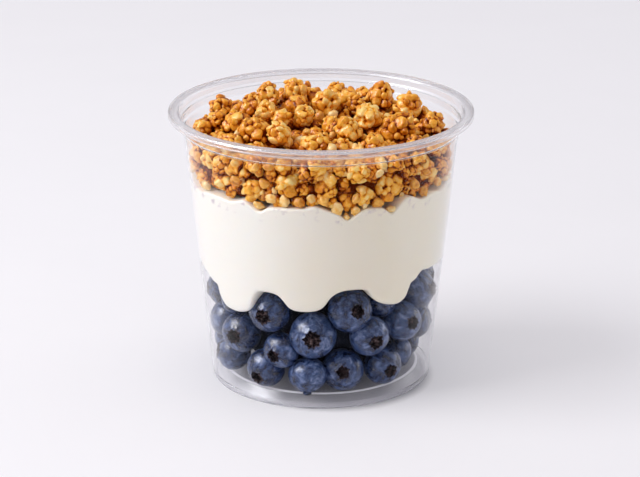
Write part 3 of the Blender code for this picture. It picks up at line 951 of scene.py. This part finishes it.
def fused(points, faces):
    """Union of overlapping bodies on a fine grid, a little smoothed and thinned out."""
    mesh = bpy.data.meshes.new("loose")
    mesh.from_pydata(points.tolist(), [], faces.tolist())
    item = new_object("loose", mesh)
    remesh = item.modifiers.new("union", "REMESH")
    remesh.mode = "VOXEL"
    remesh.voxel_size = CLUSTER_GRID
    soften = item.modifiers.new("soften", "SMOOTH")
    soften.factor = 0.5
    soften.iterations = 1
    thin = item.modifiers.new("thin", "DECIMATE")
    thin.ratio = CLUSTER_THINNING
    result = item.evaluated_get(bpy.context.evaluated_depsgraph_get()).to_mesh()
    result.calc_loop_triangles()
    new_points = np.array([vertex.co[:] for vertex in result.vertices])
    new_faces = np.array([triangle.vertices[:] for triangle in result.loop_triangles])
    bpy.data.objects.remove(item, do_unlink=True)
    bpy.data.meshes.remove(mesh)
    return new_points, new_faces


def press_in(points, proud=0.3):
    """Flatten what would go through the cup's wall."""
    reach = np.hypot(points[:, 0], points[:, 1])
    limit = wall_radius(np.minimum(points[:, 2], HEAP_EDGE)) + proud
    points[:, :2] *= np.minimum(1.0, limit / np.maximum(reach, 1.0))[:, None]
    return points


def heap_level(x, y):
    """Height of the heap's middle clusters."""
    share = math.hypot(x, y) / wall_radius(96.0)
    level, dome, rise = HEAP_RISE
    return level + dome * (1.0 - share * share) + rise * y / 50.0


def clusters_to_place(chance):
    """Centre and diameter of every cluster."""
    draw = chance.uniform
    placed = [(np.array(values[:3]), values[3]) for values in HEAP_CLUSTERS]
    for turn, height, diameter in WALL_CLUSTERS:
        centre = around(turn, wall_radius(height) - 0.2 - 0.5 * diameter, height)
        placed.append((centre, diameter))

    def room(centre, diameter, share):
        return min(np.linalg.norm(centre - other) - share * (diameter + size)
                   for other, size in placed) > 0.0

    for tries, share, sizes, reach, back_sink, sink in HEAP_FILL:
        for _ in range(tries):
            x, y = (draw(-HEAP_SQUARE, HEAP_SQUARE) for _ in range(2))
            diameter = draw(*sizes)
            if math.hypot(x, y) > reach - 0.5 * diameter:
                continue
            depth = draw(*(back_sink if y > HEAP_BACK else sink))
            centre = np.array((x, y, heap_level(x, y) - depth))
            if room(centre, diameter, share):
                placed.append((centre, diameter))
    for tries, share, sizes in WALL_FILL:
        for _ in range(tries):
            turn, height = draw(0.0, 360.0), draw(84.0, 98.0)
            diameter = draw(*sizes)
            depth = draw(0.8, 2.8)
            centre = around(turn, wall_radius(height) - depth - 0.5 * diameter, height)
            if room(centre, diameter, share):
                placed.append((centre, diameter))
    return placed


def make_clusters(material):
    """One piece for each kind of cluster, with all clusters of that kind."""
    chance = random.Random(CLUSTER_SEED)
    kinds = [(cluster(diameter, length, KIND_SEED + index), diameter)
             for index, (diameter, length) in enumerate(CLUSTER_KINDS)]
    groups = [[] for _ in kinds]
    places = clusters_to_place(chance)
    for index, (centre, diameter) in enumerate(places):
        fitting = [kind for kind, (_, nominal) in enumerate(kinds)
                   if CLUSTER_FIT[0] * nominal < diameter < CLUSTER_FIT[1] * nominal]
        kind = fitting[index % len(fitting)] if fitting else len(kinds) - 1
        (points, faces, marks), nominal = kinds[kind]
        stretch = np.diag([chance.uniform(0.92, 1.08) for _ in range(3)]) * diameter / nominal
        matrix = random_turn(chance) @ stretch
        shift = chance.uniform(-0.42, 0.22)
        placed = press_in(points @ matrix.T + centre)
        # Painted shade where this cluster touches its neighbours, added to its crevice mark.
        near = contact(placed, index, places)
        groups[kind].append((placed, faces, {
            "tone": np.clip(marks["tone"] + shift, 0, 1),
            "crevice_shade": np.clip(marks["crevice_shade"] + 0.90 * near, 0, 1.25)}))
    items = []
    for kind, parts in enumerate(groups):
        points, faces, marks = joined(parts)
        letter = "abcdefghijkl"[kind]
        items.append(add_mesh(f"granola_clusters_{letter}", points, faces, material, marks))
    return items


def contact(points, index, places):
    """How close each point of one cluster is to the clusters round it, 0 to 1."""
    centre, diameter = places[index]
    near = np.zeros(len(points))
    for other, (place, size) in enumerate(places):
        if other == index or np.linalg.norm(place - centre) > 0.5 * (diameter + 1.5 * size):
            continue
        share = np.linalg.norm(points - place, axis=1) / (0.5 * size)
        near = np.maximum(near, 1.0 - smooth_step(0.92, 1.34, share))
    return near


def oat(length, chance, ball):
    """One oat grain or flake with a crease along it: points, faces, marks."""
    draw = chance.uniform
    points, faces = ball[0].copy(), ball[1]
    width, thick = draw(0.68, 0.95), draw(0.50, 0.80)
    crease = np.exp(-(points[:, 1] / 0.20) ** 2) * (np.abs(points[:, 0]) < 0.85)
    crease = crease * (draw(0.4, 0.9) if chance.random() < 0.40 else 0.1)
    seed = chance.random() * 40.0
    points[:, 2] *= 1.0 - 0.40 * crease
    points[:, 1] *= 1.0 - 0.35 * np.clip(points[:, 0], 0.0, 1.0) ** 2
    bump = 0.30 * lumps(points, 1.5, seed) + 0.16 * lumps(points, 3.2, seed + 5.0)
    points *= (1.0 + bump)[:, None]
    points = chipped(points, chance, *OAT_CHIPS)
    points = points * (0.5 * length * np.array((1.0, width, thick)))
    points[:, 2] += draw(-0.08, 0.08) * points[:, 0] ** 2
    tone = np.full(len(points), draw(0.32, 1.05))
    # Painted shade in the crease and in the low places.
    hollow = np.clip(0.25 - 2.2 * bump, 0.0, 0.8)
    return points, faces, {"tone": tone, "crevice_shade": np.maximum(0.9 * crease, hollow)}


def make_grains(material):
    """Loose oats at the wall, in the gaps and on the heap."""
    chance = random.Random(OAT_SEED)
    draw = chance.uniform
    parts = []

    def place(centre, length, out=None, ball=(SMALL_BALL, SMALL_BALL_FACES)):
        points, faces, marks = oat(length, chance, ball)
        if out is None:
            matrix = random_turn(chance)
        else:
            tilted = out + np.array([draw(-1.1, 1.1) for _ in range(3)])
            matrix = turn_to(tilted, draw(0.0, TAU))
        parts.append((press_in(points @ matrix.T + centre, 0.42), faces, marks))

    for turn, height, length in WALL_GRAINS:
        centre = around(turn, wall_radius(height) - 1.5, height)
        place(centre, length, around(turn, 1.0, 0.0), (BALL, BALL_FACES))
    for _ in range(BACK_OATS):
        turn, height = draw(72.0, 285.0), draw(80.5, 86.0)
        place(around(turn, wall_radius(height) - 1.6, height), draw(3.6, 5.8),
              around(turn, 1.0, 0.0))
    for _ in range(SUNK_OATS):
        turn, height = draw(0.0, 360.0), draw(83.0, 99.0)
        place(around(turn, wall_radius(height) - draw(2.2, 5.0), height), draw(3.4, 5.0))
    for _ in range(HEAP_OATS):
        x, y = draw(-45.0, 45.0), draw(-45.0, 45.0)
        if math.hypot(x, y) < 46.0:
            level = heap_level(x, y) + draw(-3.0, 0.0)
            place(np.array((x, y, level)), draw(3.4, 5.2))
    points, faces, marks = joined(parts)
    return add_mesh("loose_oats", points, faces, material, marks)


def make_granola_core(material):
    """The crumbly body that closes the gaps between the clusters."""
    outline = [(0.0, 81.0)]
    for (radius, height), (next_radius, next_height) in zip(GRANOLA_CORE, GRANOLA_CORE[1:]):
        steps = max(1, round(math.hypot(next_radius - radius, next_height - height) / 1.1))
        for step in range(steps):
            share = step / steps
            outline.append((radius + (next_radius - radius) * share,
                            height + (next_height - height) * share))
    outline += [GRANOLA_CORE[-1], (0.0, 94.8)]
    points, faces = round_core(outline, GRANOLA_CORE_LUMPS, GRANOLA_CORE_LUMPS, CORE_SEED, 260)
    raised = lumps(points, 1.0 / GRANOLA_CORE_LUMPS, CORE_SEED)
    # Painted shade: the core is kept darker and marked deep in the crevice mark, as granola shaded
    # in the gaps.
    marks = {"tone": np.clip(0.25 + 0.5 * np.abs(raised), 0.0, 1.0),
             "crevice_shade": np.clip(0.95 - 1.1 * np.abs(raised), 0.3, 1.0)}
    return add_mesh("granola_heap_core", points, faces, material, marks)


# Studio


def aim(item, target):
    direction = Vector(target) - item.location
    item.rotation_euler = direction.to_track_quat("-Z", "Y").to_euler()


def add_area(name, azimuth, elevation, distance, size, power, colour):
    """A square light at an azimuth from the front and an elevation, aimed at the cup."""
    light = bpy.data.lights.new(name, "AREA")
    light.shape = "RECTANGLE"
    light.size, light.size_y = size
    light.energy = power
    light.color = colour
    item = new_object(name, light)
    turn, tilt = math.radians(azimuth), math.radians(elevation)
    item.location = (distance * math.sin(turn) * math.cos(tilt),
                     -distance * math.cos(turn) * math.cos(tilt), distance * math.sin(tilt))
    aim(item, (0.0, 0.0, 0.05))
    return item


def make_studio():
    shape = bmesh.new()
    bmesh.ops.create_grid(shape, x_segments=1, y_segments=1, size=4.0)
    mesh = bpy.data.meshes.new("tabletop")
    shape.to_mesh(mesh)
    shape.free()
    mesh.materials.append(floor_look())
    floor = new_object("tabletop", mesh)
    floor.location.z = cup_low[2]
    add_area("window", *WINDOW_TURNS, 1.4, (0.86, 0.86), WINDOW_WATTS, (1.0, 0.99, 0.985))
    pane = add_area("window_pane", *WINDOW_TURNS, 1.39, (0.80, 0.80), PANE_WATTS,
                    (0.94, 0.945, 1.0))
    pane.visible_diffuse = False  # it only shows in what is glossy
    pane.visible_transmission = False
    add_area("reflector", 106.0, 14.0, 1.6, (1.2, 0.7), REFLECTOR_WATTS, (1.0, 0.99, 1.0))
    sky = Look("studio", "worlds", "Background")
    place = sky.add("ShaderNodeTexCoord").outputs["Generated"]
    rise = sky.add("ShaderNodeSeparateXYZ", {0: place}).outputs["Z"]
    sky.set(Color=sky.ramp(rise, ((0.0, WORLD_LOW), (0.8, WORLD_HIGH))), Strength=WORLD_STRENGTH)
    bpy.context.scene.world = sky.block


def make_camera():
    camera = bpy.data.cameras.new("camera")
    camera.sensor_width = 36.0
    camera.lens = CAMERA_LENS
    item = new_object("camera", camera)
    item.location = [place * MM for place in CAMERA_PLACE]
    item.rotation_euler = (math.radians(90.0 - CAMERA_DIP), 0.0, 0.0)
    bpy.context.scene.camera = item


def stand_for(item, node=None):
    """Parent a piece to the root body, and hide the CAD piece that it stands for, if one is given.
    """
    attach(item, "root")
    if node:
        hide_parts(node)


make_studio()
make_camera()
stand_for(make_cup([plastic_look(*values) for values in PLASTICS]), "cup")
berries, berry_core = make_berries(berry_look(), dark_look(
    "berry_shadow", (0.004, 0.005, 0.010), (0.014, 0.017, 0.030)))
stand_for(berries, "blueberry_layer")
stand_for(berry_core)
stand_for(make_yogurt(yogurt_look()), "yogurt_layer")
honey = granola_look()
for item in make_clusters(honey):
    stand_for(item, "granola_topping")
stand_for(make_grains(oat_look()))
stand_for(make_granola_core(honey))

bpy.context.scene.view_settings.view_transform = "Standard"
